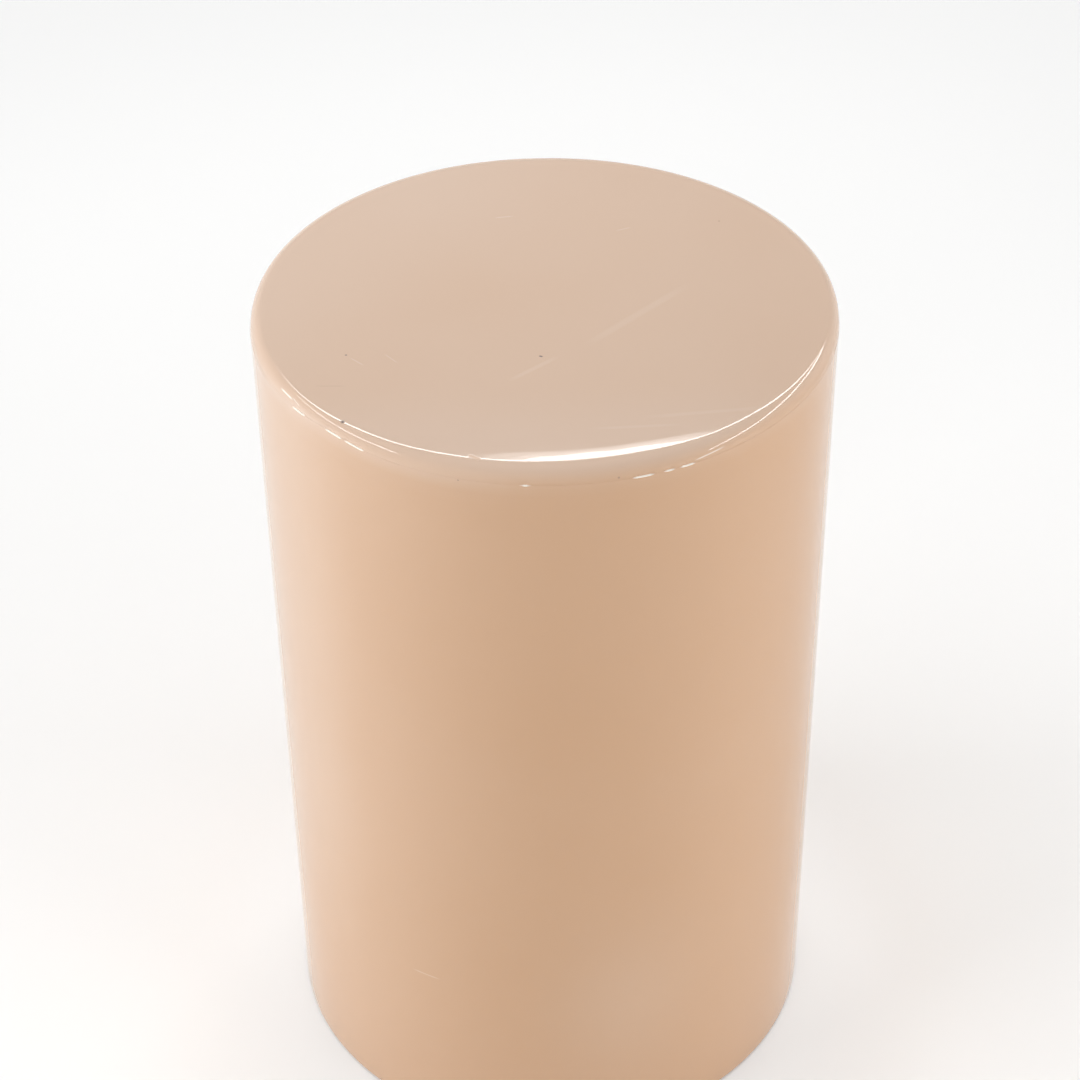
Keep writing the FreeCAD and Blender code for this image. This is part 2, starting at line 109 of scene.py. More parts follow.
# Marks in the lacquer: what each is, its start, its end and its width in millimetres, and its strength.
TOP_MARKS = (
    ("speck", (-117.9, -61.6, 561.5), (-117.9, -61.6, 561.5), 2.0, 0.9),
    ("speck", (-2.9, -64.9, 561.5), (-2.0, -65.3, 561.5), 2.0, 1.0),
    ("speck", (111.7, 87.5, 561.5), (111.7, 87.5, 561.5), 1.6, 0.4),
    ("speck", (-116.2, -130.0, 561.4), (-116.0, -130.4, 561.4), 3.4, 1.0),
    ("speck", (40.7, -175.1, 552.7), (40.7, -175.1, 552.7), 1.8, 0.5),
    ("speck", (-136.0, -93.7, 561.5), (-114.7, -94.1, 561.5), 1.0, 0.12),
    ("dull", (-42.6, -164.6, 561.5), (-38.2, -167.6, 561.3), 4.5, 1.0),
    ("dull", (-124.5, -124.6, 561.1), (-106.5, -142.6, 559.1), 2.2, 0.5),
    # The next two are short pale lines on the round: painted glints.
    ("rub_and_glint", (-155.0, -89.1, 557.8), (-146.3, -103.4, 558.0), 1.6, 1.0),
    ("rub_and_glint", (-146.9, -101.3, 558.9), (-142.0, -109.2, 557.5), 1.1, 0.7),
    # A painted glint low on the round at the front right.
    ("rub_and_glint", (82.6, -160.0, 552.2), (102.8, -147.4, 554.3), 1.4, 0.55),
    ("rub_and_glint", (-116.3, -63.6, 561.5), (-106.1, -73.4, 561.5), 1.6, 0.12),
    ("rub_and_glint", (-96.0, -59.8, 561.5), (-86.1, -71.6, 561.5), 1.6, 0.10),
    ("rub_and_glint", (-32.3, 94.3, 561.5), (-18.2, 96.5, 561.5), 2.2, 0.12),
    ("rub_and_glint", (45.2, 76.7, 561.5), (56.1, 81.3, 561.5), 2.0, 0.10),
    # Faint paler streaks across the face.
    ("rub_and_glint", (20.0, -58.0, 561.5), (93.0, 17.0, 561.5), 8.0, 0.06),
    ("rub_and_glint", (-23.0, -92.0, 561.5), (10.0, -63.5, 561.5), 5.0, 0.07),
    ("rub_and_glint", (50.6, -129.6, 561.5), (136.0, -119.2, 561.5), 5.0, 0.05),
    ("rub_and_glint", (21.2, -140.0, 561.5), (82.3, -136.1, 561.5), 4.0, 0.05),
)
WALL_MARKS = (
    ("speck", (-49.6, -173.0, 550.6), (-49.6, -173.0, 550.6), 1.4, 0.5),
    ("rub_and_glint", (-92.6, -154.4, 136.3), (-72.5, -164.8, 135.7), 1.6, 0.16),
)

# Sizes of the patterns in the finishes, as cells of noise to a metre.
MOTTLE_CELLS = 7.0
HAZE_CELLS = 23.0
PEEL_CELLS = 260.0
BIRCH_CELLS = 30.0
PINE_CELLS = 18.0
FIBRE_CELLS = 220.0
NYLON_CELLS = 90.0
NYLON_GRAIN_CELLS = 2600.0
ZINC_CELLS = 400.0
# How the grain is drawn out along each axis, in the birch, the pine and its fibre.
BIRCH_STRETCH = (0.12, 2.2, 1.0)
PINE_STRETCH = (1.0, 1.0, 0.12)
FIBRE_STRETCH = (1.0, 1.0, 0.03)
# Heights of the grain in the wood and in the nylon.
WOOD_GRAIN = 0.0002
NYLON_GRAIN = 0.00003
# Thickness of a ply, and where across it the dark glue line starts and is full.
PLY = 0.0014
GLUE_START = 0.0005
GLUE_FULL = 0.0009
# Growth rings to a metre of pine along X and Y, and how many rings they wander.
PINE_RINGS = (150.0, 210.0)
RING_WANDER = 9.0
# Second tone of each finish, as a factor for each channel of its main colour.
BIRCH_SHADE = (0.72, 0.72, 0.72)
PINE_SHADE = (0.72, 0.60, 0.48)
NYLON_SHADE = (0.9, 0.9, 0.9)
ZINC_SHADE = (0.98, 0.92, 0.78)

# Lamps of the studio: where each stands, where it points, its width and height, how bright its face is
# against white paper at 1, how widely it spreads in degrees, and whether the gloss shows it.
LAMPS = (
    ("back softbox", (0.13, 1.50, 2.145), (0.13, 0.0, 0.56), (1.7, 0.50), 7.0, 180, True),
    ("back skirt", (0.13, 1.694, 1.961), (0.13, 0.0, 0.56), (1.7, 0.030), 2.6, 180, True),
    ("back hem", (0.13, 1.715, 1.940), (0.13, 0.0, 0.56), (1.7, 0.030), 1.6, 180, True),
    ("left softbox", (-1.9, -0.6, 1.1), (0.0, 0.0, 0.35), (1.6, 1.2), 5.0, 180, False),
    ("right softbox", (1.75, -0.8, 0.9), (0.0, 0.0, 0.35), (1.6, 1.2), 3.3, 180, False),
    ("front softbox", (0.0, -1.8, 2.3), (0.0, 0.0, 0.45), (2.0, 1.2), 0.45, 180, False),
    ("front fill", (0.0, -2.6, 0.8), (0.0, 0.0, 0.30), (2.6, 1.4), 0.43, 180, False),
    ("back wash", (-0.05, 1.45, 2.6), (-0.05, 1.45, 0.0), (3.0, 1.0), 0.40, 60, False),
    ("right wash", (0.65, 0.20, 2.3), (0.65, 0.20, 0.0), (0.6, 0.7), 0.19, 30, False),
    ("top wash", (-0.15, 0.05, 2.4), (-0.15, 0.05, 0.0), (0.5, 0.5), 0.20, 30, False),
)
# Thin strip lamps that only the gloss shows: their ends, width and brightness, and the place they face.
STRIPS = (
    ("right strip", (0.70, 0.95, 1.325), (1.74, -1.17, 0.49), 0.08, 8.0),
    ("left strip", (-1.05, 0.45, 1.38), (-1.05, -0.85, 0.985), 0.08, 6.0),
)
STRIP_AIM = (0.0, 0.0, 0.5)
STRIP_SPREAD = 180.0


class LacquerSettings(bpy.types.PropertyGroup):
    """Colour and gloss of the lacquer on the top and the wall."""

    colour: FloatVectorProperty(
        name="Colour", description="Main colour of the lacquer, linear",
        subtype="COLOR", size=3, min=0.0, max=1.0, default=(0.594, 0.348, 0.188))
    # Paler colour: the faded lacquer of the top, and painted sheen on the wall and along the front of the
    # top.
    fade_and_sheen: FloatVectorProperty(
        name="Faded colour", description="Colour where light has faded it, as on the top",
        subtype="COLOR", size=3, min=0.0, max=1.0, default=(0.665, 0.463, 0.331))
    # Undercoat shows through rub marks; the same colour is painted on the arris and the round as painted
    # glints.
    undercoat_and_glint: FloatVectorProperty(
        name="Undercoat", description="Colour of the undercoat where the lacquer is rubbed through",
        subtype="COLOR", size=3, min=0.0, max=1.0, default=(0.99, 0.93, 0.84))
    dirt: FloatVectorProperty(
        name="Speck colour", description="Colour of chips and specks of dirt",
        subtype="COLOR", size=3, min=0.0, max=1.0, default=(0.10, 0.055, 0.035))
    roughness: FloatProperty(
        name="Roughness", description="Roughness of sound lacquer", min=0.0, max=1.0, default=0.025)
    # Roughness of the arris in the glint spans, where it is painted pale as a glint.
    glint_roughness: FloatProperty(
        name="Rubbed roughness", description="Roughness of the arris where the lacquer is rubbed through",
        min=0.0, max=1.0, default=0.3)
    gloss: FloatProperty(
        name="Index", description="Index of refraction that sets the strength of the gloss",
        min=1.0, max=2.5, default=1.75)
    mark_roughness: FloatProperty(
        name="Mark roughness", description="Roughness of dull marks, chips and specks",
        min=0.0, max=1.0, default=0.6)
    haze: FloatProperty(
        name="Haze", description="How much the roughness of sound lacquer varies",
        min=0.0, max=1.0, default=0.02)
    mottle: FloatProperty(
        name="Mottle", description="How much the share of fading varies up and down",
        min=0.0, max=1.0, default=0.03)
    peel: FloatProperty(
        name="Peel", description="Height of the orange peel in the lacquer",
        unit="LENGTH", min=0.0, max=0.001, default=0.000004)


class ShellSettings(bpy.types.PropertyGroup):
    """Sizes of the lacquered top and wall that the photo shows and the CAD keeps plain."""

    around: IntProperty(
        name="Steps around", description="Points around the drum", min=90, max=900, default=720)
    roll_width: FloatProperty(
        name="Roll width", description="Width of the band of the top that rolls off before the round",
        unit="LENGTH", min=0.0, max=0.05, default=0.009)
    arris: FloatProperty(
        name="Arris", description="Width of the arris of the wall that shows below the round",
        unit="LENGTH", min=0.0, max=0.002, default=0.00012)
    # The arris stands out in the glint spans, where its colour is painted pale as a glint.
    glint_arris: FloatProperty(
        name="Rubbed arris", description="Width of the arris where it stands out and is rubbed through",
        unit="LENGTH", min=0.0, max=0.002, default=0.0008)
    waviness: FloatProperty(
        name="Waviness", description="Height of the slow waves in the wall",
        unit="LENGTH", min=0.0, max=0.001, default=0.00006)
    foot_ease: FloatProperty(
        name="Foot ease", description="Size of the eased arris at the foot of the wall",
        unit="LENGTH", min=0.0, max=0.005, default=0.0015)


class ScrewSettings(bpy.types.PropertyGroup):
    """Sizes of the screws that the CAD keeps plain; their places come from the frame."""

    thread: FloatProperty(
        name="Thread", description="Diameter of the thread of the wood screws",
        unit="LENGTH", min=0.001, max=0.02, default=0.004)
    head: FloatProperty(
        name="Head", description="Diameter of the head of the wood screws",
        unit="LENGTH", min=0.001, max=0.04, default=0.008)
    glide_thread: FloatProperty(
        name="Glide thread", description="Diameter of the thread of the glide screws",
        unit="LENGTH", min=0.001, max=0.02, default=0.0035)
    glide_head: FloatProperty(
        name="Glide head", description="Diameter of the head of the glide screws",
        unit="LENGTH", min=0.001, max=0.04, default=0.007)
    post_length: FloatProperty(
        name="Post screw length", description="Length of the screws through the posts",
        unit="LENGTH", min=0.005, max=0.1, default=0.0395)
    pitch: FloatProperty(
        name="Pitch", description="Distance from one turn of the thread to the next",
        unit="LENGTH", min=0.0005, max=0.004, default=0.0018)
    core: FloatProperty(
        name="Core share", description="Core diameter as a share of the thread diameter",
        min=0.4, max=0.95, default=0.66)
    recess: FloatProperty(
        name="Recess depth", description="Depth of the cross recess in the head",
        unit="LENGTH", min=0.0, max=0.003, default=0.0016)


class FinishSettings(bpy.types.PropertyGroup):
    """Colours of the unpainted pieces."""

    birch: FloatVectorProperty(
        name="Birch", description="Face colour of the plywood rings and base, linear",
        subtype="COLOR", size=3, min=0.0, max=1.0, default=(0.62, 0.45, 0.28))
    glue: FloatVectorProperty(
        name="Glue line", description="Colour of the darker plies at plywood edges",
        subtype="COLOR", size=3, min=0.0, max=1.0, default=(0.33, 0.20, 0.11))
    pine: FloatVectorProperty(
        name="Pine", description="Colour of the posts, linear",
        subtype="COLOR", size=3, min=0.0, max=1.0, default=(0.66, 0.46, 0.25))
    nylon: FloatVectorProperty(
        name="Nylon", description="Colour of the glides, linear",
        subtype="COLOR", size=3, min=0.0, max=1.0, default=(0.72, 0.70, 0.65))
    zinc: FloatVectorProperty(
        name="Zinc", description="Colour of the plated screws, linear",
        subtype="COLOR", size=3, min=0.0, max=1.0, default=(0.62, 0.61, 0.57))


class StudioSettings(bpy.types.PropertyGroup):
    """Camera and light of the studio."""

    pitch: FloatProperty(
        name="Pitch", description="How far the camera looks down", subtype="ANGLE",
        min=0.0, max=1.57, default=0.657029)
    distance: FloatProperty(
        name="Distance", description="Distance from the camera to its aim on the axis of the drum",
        unit="LENGTH", min=0.1, max=20.0, default=1.742823)
    aim_height: FloatProperty(
        name="Aim height", description="Height of the aim on the axis of the drum",
        unit="LENGTH", min=-1.0, max=2.0, default=0.374101)
    yaw: FloatProperty(
        name="Yaw", description="Turn of the camera to the right", subtype="ANGLE",
        min=-1.0, max=1.0, default=-0.0026)
    roll: FloatProperty(
        name="Roll", description="Roll of the camera", subtype="ANGLE",
        min=-1.0, max=1.0, default=-0.0106)
    lens: FloatProperty(
        name="Lens", description="Focal length on a 36 mm wide sensor, in millimetres",
        min=10.0, max=300.0, default=88.883)
    floor_colour: FloatVectorProperty(
        name="Floor colour", description="Colour of the plain floor, linear",
        subtype="COLOR", size=3, min=0.0, max=1.0, default=(0.93, 0.93, 0.925))
    floor_width: FloatProperty(
        name="Floor width", description="Width of the floor",
        unit="LENGTH", min=1.0, max=50.0, default=12.0)
    fade_start: FloatProperty(
        name="Fade start", description="Distance from the table at which the floor starts to turn white",
        unit="LENGTH", min=0.5, max=50.0, default=1.2)
    fade_end: FloatProperty(
        name="Fade end", description="Distance from the table at which the floor is white",
        unit="LENGTH", min=0.5, max=50.0, default=2.4)
    # Painted light: white mixed into the floor next to the foot, which lifts the shade there.
    painted_foot_light: FloatProperty(
        name="White at the foot", description="Share of white in the floor right at the foot of the table",
        min=0.0, max=1.0, default=0.45)
    foot_reach: FloatProperty(
        name="Reach of the white", description="Distance from the foot over which that white fades out",
        unit="LENGTH", min=0.01, max=1.0, default=0.10)
    dome: FloatProperty(
        name="Dome", description="Brightness of the even light from all around",
        min=0.0, max=5.0, default=0.30)


class TableSettings(bpy.types.PropertyGroup):
    """All settings of the drum table."""

    lacquer: PointerProperty(type=LacquerSettings)
    shell: PointerProperty(type=ShellSettings)
    screw: PointerProperty(type=ScrewSettings)
    finish: PointerProperty(type=FinishSettings)
    studio: PointerProperty(type=StudioSettings)


def by_azimuth(table, azimuth, blur=1.0):
    """Sizes in metres at each azimuth: the table joined by straight lines, then blurred over some degrees."""
    degrees, sizes = np.array(table, dtype=float).T
    joined = np.interp(np.degrees(azimuth), degrees, sizes, period=360.0)
    orders = np.arange(len(azimuth) // 2 + 1)
    fade = np.exp(-0.5 * (orders * np.radians(blur)) ** 2)
    return np.fft.irfft(np.fft.rfft(joined) * fade, len(azimuth)) * MM


def turns(count):
    """Azimuths of a whole turn, evenly spaced."""
    return np.arange(count) * (FULL_TURN / count)


def waves(azimuth, height, terms):
    """Sum of cosine waves, each with its turns around, its wavelength up, its phase and its share."""
    total = np.zeros(np.broadcast(azimuth, height).shape)
    for lobes, rise, phase, share in terms:
        total = total + share * np.cos(lobes * azimuth + FULL_TURN * height / rise + phase)
    return total


def ring_faces(rows, columns, closed):
    """Quads of a grid that wraps around its columns, and around its rows as well where it is closed."""
    row = np.arange(rows if closed else rows - 1)[:, None]
    column = np.arange(columns)[None, :]
    below = ((row + 1) % rows) * columns
    beside = (column + 1) % columns
    corners = (row * columns + column, row * columns + beside, below + beside, below + column)
    return np.stack([np.broadcast_to(corner, (len(row), columns)) for corner in corners], -1).reshape(-1, 4)


def fan_faces(ring, pole):
    """Triangles from each step of a ring to one pole."""
    return np.stack([ring, np.full(len(ring), pole), np.roll(ring, -1)], -1)


def add_piece(name, points, faces, sharp):
    """Make a mesh object from whole arrays, smooth but for edges sharper than an angle in degrees."""
    mesh = bpy.data.meshes.new(name)
    mesh.from_pydata(points, [], faces)
    mesh.shade_smooth()
    mesh.set_sharp_from_angle(angle=np.radians(sharp))
    mesh.update()
    piece = bpy.data.objects.new(name, mesh)
    bpy.context.scene.collection.objects.link(piece)
    return piece


def revolve(radius, height, azimuth):
    """Points of a turned grid: radius times cosine and sine of the azimuth, at the height."""
    return np.stack([radius * np.cos(azimuth), radius * np.sin(azimuth), height + 0.0 * azimuth], -1)


def turned_solid(name, radius, height, azimuth):
    """Solid of revolution from a profile grid that starts and ends near the axis, closed by two poles."""
    rows, columns = radius.shape
    points = revolve(radius, height, azimuth).reshape(-1, 3)
    first = len(points)
    poles = np.array([[0.0, 0.0, height[0].mean()], [0.0, 0.0, height[-1].mean()]])
    grid = ring_faces(rows, columns, closed=False)
    top_ring = np.arange(columns)
    bottom_ring = np.arange(columns) + (rows - 1) * columns
    faces = grid[:, ::-1].tolist()
    faces += fan_faces(top_ring, first)[:, ::-1].tolist()
    faces += fan_faces(bottom_ring, first + 1).tolist()
    return add_piece(name, np.vstack([points, poles]), faces, SHARP)


def turned_hoop(name, radius, height, azimuth):
    """Hoop of revolution from a profile grid that closes on itself."""
    rows, columns = radius.shape
    points = revolve(radius, height, azimuth).reshape(-1, 3)
    faces = ring_faces(rows, columns, closed=True)[:, ::-1].tolist()
    return add_piece(name, points, faces, SHARP)


def store(piece, name, values):
    """Keep one value for each point of a piece, for its material to read."""
    layer = piece.data.attributes.new(name, "FLOAT", "POINT")
    layer.data.foreach_set("value", np.ascontiguousarray(values, dtype=np.float32))


def glint_share(azimuth):
    """One inside the glint spans and nothing outside, with a straight step at their ends."""
    degrees = np.degrees(azimuth)[None, :]
    spans = np.array(GLINT_SPANS)
    within = np.minimum(degrees - spans[:, :1], spans[:, 1:] - degrees)
    return np.clip(0.5 + within / SPAN_STEP, 0.0, 1.0).max(0)


def ramp(value, start, end):
    """Nothing before the start, one past the end, and eased by a cubic between them."""
    share = np.clip((value - start) / (end - start), 0.0, 1.0)
    return share * share * (3.0 - 2.0 * share)


def bell(across, along):
    """Bell over two directions: the exponential of minus the sum of their squares."""
    return np.exp(-across ** 2 - along ** 2)


def wall_fade_and_sheen(azimuth, height, joint):
    """Share of fading and painted sheen in the wall.

    An even share of fading; painted sheen more towards the left and upwards, painted shade as less share low
    down at the right, a painted sheen just below the joint and a cloud low at the front. The cosine of the
    azimuth tells left, below zero, from right.
    """
    even = 0.13
    glow_depth = 0.005
    cloud_azimuth = np.radians(286.0)
    cloud_height = 0.12
    side = np.cos(azimuth)
    rise = height / joint
    # Painted sheen: paler towards the left and upwards, most at the far left, where the light falls.
    left = ramp(side, 0.1, -1.0) * (0.25 + 0.24 * rise)
    far_left = 0.35 * ramp(side, -0.6, -0.85) * ramp(height, 0.10, 0.25)
    # Painted shade: less share low down at the right.
    right = 0.13 * ramp(side, 0.65, 0.95) * (1.0 - rise)
    # Painted sheen in a band just below the joint.
    glow = np.exp((height - joint) / glow_depth) * (0.22 + 0.38 * ramp(side, 0.05, -0.37))
    glow = glow * (1.0 - 0.5 * ramp(side, -0.8, -0.95))
    cloud = 0.30 * bell((azimuth - cloud_azimuth) / 0.25, (height - cloud_height) / 0.06)
    return even + left + far_left - right + glow + cloud


def top_fade_and_sheen(across, back):
    """Share of fading and painted sheen in the face of the top.

    It grows towards the back left, and along the front as a painted sheen, and is less at the right and in a
    smudge near the middle.
    """
    smudge_across = -0.03
    smudge_back = -0.005
    back_left = 0.22 * ramp(0.6 * back - 0.8 * across, 0.03, 0.16)
    # Painted sheen: a paler band along the front of the face.
    front = 0.22 * ramp(back, -0.09, -0.15)
    right = 0.08 * ramp(across, 0.08, 0.14)
    smudge = 0.10 * bell((across - smudge_across) / 0.05, (back - smudge_back) / 0.035)
    return 1.0 + back_left + front - right - smudge


def joint_sizes(settings, azimuth):
    """Wall radius, height of the top, width of the wall's arris and depth of the round, at each azimuth."""
    wall_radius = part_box("outer_skin")[1].x
    top_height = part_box("top_panel")[1].z
    ledge = settings.arris + (settings.glint_arris - settings.arris) * glint_share(azimuth)
    depth = by_azimuth(ROUND_DEPTH, azimuth)
    return wall_radius, top_height, ledge, depth


def top_surface(settings):
    """Profile grid of the lacquered top, with its share of fading and painted sheen.

    The face is flat, then rolls down by the square of the way to the edge, then turns down in a quarter
    ellipse as wide and deep as the tables say; below it are the flange and the spigot that seats in the drum.
    It is faded down to the foot of the round, which takes on the fading and painted sheen of the wall below
    it.
    """
    azimuth = turns(settings.around)[None, :]
    wall_radius, top_height, ledge, depth = joint_sizes(settings, azimuth[0])
    edge = wall_radius - settings.arris
    width = by_azimuth(ROUND_WIDTH, azimuth[0])
    droop = by_azimuth(EDGE_DROOP, azimuth[0])
    flat = edge - width
    start = flat - settings.roll_width
    inner = np.linspace(FACE_START, 1.0, FACE_ROWS)[:-1, None] * start
    rolling = start + np.linspace(0.0, 1.0, ROLL_ROWS)[:-1, None] * settings.roll_width
    lean = np.linspace(0.0, QUARTER_TURN, ROUND_ROWS)[:, None]
    rounding = flat + width * np.sin(lean)
    drop = np.vstack([np.zeros_like(inner), np.zeros_like(rolling), (depth - droop) * (1.0 - np.cos(lean))])
    radius = np.vstack([inner, rolling, rounding])
    way = np.clip((radius - start) / (settings.roll_width + width), 0.0, 1.0)
    height = top_height - drop - droop * way ** 2
    turned = np.linspace(0.0, 1.0, ROUND_ROWS)[:, None]
    tuck = np.clip((turned - TUCK_START) / (1.0 - TUCK_START), 0.0, 1.0) ** 2
    radius[-ROUND_ROWS:] -= (ledge - settings.arris) * tuck
    spigot_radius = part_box("base_panel")[1].x
    spigot_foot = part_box("top_panel")[0].z
    joint = np.broadcast_to(height[-1:], (1, settings.around))
    lower = spigot_radius - np.array((0.0, 0.0, SPIGOT_LEAD) + UNDERSIDE)[:, None]
    lower_height = np.vstack([joint, np.full((1, settings.around), spigot_foot + SPIGOT_LEAD),
                              np.full((3, settings.around), spigot_foot)])
    fade_and_sheen = top_fade_and_sheen(radius * np.cos(azimuth), radius * np.sin(azimuth))
    to_wall = wall_fade_and_sheen(azimuth, joint, joint) - fade_and_sheen[-ROUND_ROWS:]
    fade_and_sheen[-ROUND_ROWS:] += ramp(turned, SHADE_START, 1.0) * to_wall
    fade_and_sheen = np.vstack([fade_and_sheen, np.ones((len(lower), settings.around))])
    radius = np.vstack([radius, lower + 0.0 * azimuth])
    height = np.vstack([height, lower_height])
    return radius, height, azimuth, fade_and_sheen


def wall_surface(settings):
    """Profile grid of the lacquered wall, with its shares of fading and painted sheen, and of painted glint
    on its crown.

    A hoop with slow waves in its outer face; its top edge follows the joint and ends in a shallow crown
    that shows as a ledge under the round of the top, and its foot is eased.
    """
    azimuth = turns(settings.around)[None, :]
    wall_radius, top_height, ledge, depth = joint_sizes(settings, azimuth[0])
    inner_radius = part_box("inner_skin")[1].x
    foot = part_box("outer_skin")[0].z
    joint = top_height - depth
    crown = CROWN_RISE * ledge
    lean = np.linspace(0.0, QUARTER_TURN, CROWN_ROWS)[:, None]
    crown_radius = wall_radius - ledge * (1.0 - np.sin(lean))
    crown_height = joint - crown * (1.0 - np.cos(lean))
    share = np.concatenate([[SIDE_START], np.linspace(0.0, 1.0, SIDE_ROWS)[1:]])[:, None]
    side_height = (joint - crown) + share * (foot + settings.foot_ease - joint + crown)
    side_radius = wall_radius + 0.0 * side_height
    ease = np.linspace(0.0, QUARTER_TURN, FOOT_ROWS)[1:, None]
    ease_radius = wall_radius - settings.foot_ease * (1.0 - np.cos(ease)) + 0.0 * azimuth
    ease_height = foot + settings.foot_ease * (1.0 - np.sin(ease)) + 0.0 * azimuth
    outer_radius = np.vstack([crown_radius, side_radius, ease_radius])
    outer_height = np.vstack([crown_height, side_height, ease_height])
    swell = waves(azimuth, outer_height, WALL_WAVES)
    above_foot = np.clip((outer_height - foot) / FOOT_CALM, 0.0, 1.0)
    below_joint = np.clip((joint - outer_height) / JOINT_CALM, 0.0, 1.0)
    outer_radius = outer_radius + settings.waviness * swell * above_foot * below_joint
    inner_rise = np.array([[0.0], [1.0]])
    inside_height = foot + inner_rise * (joint - foot)
    inside_radius = inner_radius + 0.0 * inside_height
    radius = np.vstack([outer_radius, inside_radius])
    height = np.vstack([outer_height, inside_height])
    rub_and_glint = np.zeros_like(radius)
    # Share of painted glint: the crown in the glint spans is painted pale.
    rub_and_glint[:CROWN_ROWS] = glint_share(azimuth[0])
    return radius, height, azimuth, wall_fade_and_sheen(azimuth, height, joint), rub_and_glint


def screw_surface(settings, length, thread, head):
    """Points and faces of one countersunk wood screw that points up the local Z axis from its head at zero.

    The radius follows a triangle wave along a helix between core and thread, faded in below the head and out
    at the point; the head face dips in a cross.
    """
    steps_around = 22
    rows_per_turn = 7.0
    half_tooth = 0.28
    plain_share = 0.12
    point_length = 1.6 * thread
    rim = 0.0004
    azimuth = turns(steps_around)[None, :]
    head_depth = 0.5 * (head - thread)
    body = np.linspace(head_depth, length, int(length / settings.pitch * rows_per_turn))[:, None]
    core = 0.5 * thread * settings.core
    turn = np.mod(body / settings.pitch - azimuth / FULL_TURN, 1.0)
    tooth = np.clip(1.0 - np.abs(turn - 0.5) / half_tooth, 0.0, 1.0)
    fade_in = np.clip((body - head_depth - plain_share * length) / settings.pitch, 0.0, 1.0)
    point = np.clip((length - body) / point_length, 0.02, 1.0) ** 0.8
    smooth_shank = 0.5 * thread * (1.0 - fade_in) + core * fade_in
    radius = (smooth_shank + (0.5 * thread - core) * tooth * fade_in) * point
    share = np.linspace(0.12, 1.0, 9)[:, None]
    cross = np.maximum(np.abs(np.cos(azimuth)), np.abs(np.sin(azimuth)))
    arm = np.clip((cross - 0.82) / 0.12, 0.0, 1.0)
    within = np.clip((0.62 - share) / 0.12, 0.0, 1.0)
    centre = np.clip((0.26 - share) / 0.08, 0.0, 1.0)
    face_radius = 0.5 * head * share + 0.0 * azimuth
    face_height = settings.recess * within * np.maximum(arm, centre)
    cone = np.array([[rim], [head_depth]])
    cone_radius = 0.5 * head - np.array([[0.0], [head_depth - rim]]) + 0.0 * azimuth
    radius = np.vstack([face_radius, cone_radius, radius])
    height = np.vstack([face_height, cone + 0.0 * azimuth, body + 0.0 * azimuth])
    rows, columns = radius.shape
    points = revolve(radius, height, azimuth).reshape(-1, 3)
    poles = np.array([[0.0, 0.0, settings.recess], [0.0, 0.0, length]])
    quads = ring_faces(rows, columns, closed=False)
    near = fan_faces(np.arange(columns), len(points))
    far = fan_faces(np.arange(columns) + (rows - 1) * columns, len(points) + 1)
    return np.vstack([points, poles]), quads, np.vstack([near, far[:, ::-1]])


def screw_group(name, settings, places, length, thread, head):
    """One piece holding a screw at each place, a head centre with the direction of its point."""
    points, quads, fans = screw_surface(settings, length, thread, head)
    centres = np.array([place[0] for place in places])
    axes = np.array([place[1] for place in places], dtype=float)
    helper = np.where(np.abs(axes[:, 2:3]) > 0.5, [[1.0, 0.0, 0.0]], [[0.0, 0.0, 1.0]])
    across = np.cross(helper, axes)
    across /= np.linalg.norm(across, axis=1, keepdims=True)
    upright = np.cross(axes, across)
    frames = np.stack([across, upright, axes], 1)
    placed = np.einsum("pk,skc->spc", points, frames) + centres[:, None, :]
    shift = (np.arange(len(places)) * len(points))[:, None, None]
    faces = (quads[None] + shift).reshape(-1, 4).tolist()
    faces += (fans[None] + shift).reshape(-1, 3).tolist()
    return add_piece(name, placed.reshape(-1, 3), faces, SCREW_SHARP)


def upright_screws(node, start, head):
    """Places and length of four screws that point up, a quarter turn apart, from the box of their node.

    Their circle is the reach of the box less half a head, over the cosine of the first azimuth, to a tenth
    of a millimetre.
    """
    low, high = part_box(node)
    radius = round((high.x - 0.5 * head) / np.cos(np.radians(start)), 4)
    azimuth = np.radians(start) + turns(4)
    places = [((radius * np.cos(a), radius * np.sin(a), low.z), UP) for a in azimuth]
    return places, high.z - low.z


def spoke_screws(node, rows, head):
    """Places of screws on four spokes that point at the axis, in even rows, from the box of their node."""
    low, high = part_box(node)
    heights = np.linspace(low.z + 0.5 * head, high.z - 0.5 * head, rows)
    return [((high.x * np.cos(a), high.x * np.sin(a), height), (-np.cos(a), -np.sin(a), 0.0))
            for height in heights for a in turns(4)]


def new_material(name):
    """New material; returns it with its tree, its shader and the coordinates of the piece."""
    material = bpy.data.materials.new(name)
    material.use_nodes = True
    tree = material.node_tree
    coordinates = add_node(tree, "ShaderNodeTexCoord").outputs["Object"]
    return material, tree, tree.nodes["Principled BSDF"], coordinates


def feed(tree, socket, value):
    """Link a socket to another, or set it to a plain value."""
    if isinstance(value, bpy.types.NodeSocket):
        tree.links.new(value, socket)
    else:
        socket.default_value = value


def add_node(tree, kind, settings=None, **inputs):
    """Add a node, set its own settings, and feed its inputs.

    An input goes by its name, with underscores for spaces, or by its number after an i.
    """
    node = tree.nodes.new(kind)
    for key, value in (settings or {}).items():
        setattr(node, key, value)
    for key, value in inputs.items():
        numbered = key[0] == "i" and key[1:].isdigit()
        feed(tree, node.inputs[int(key[1:]) if numbered else key.replace("_", " ")], value)
    return node


def maths(tree, operation, first, second=0.0):
    """Value of one step of arithmetic."""
    return add_node(tree, "ShaderNodeMath", {"operation": operation}, i0=first, i1=second).outputs[0]


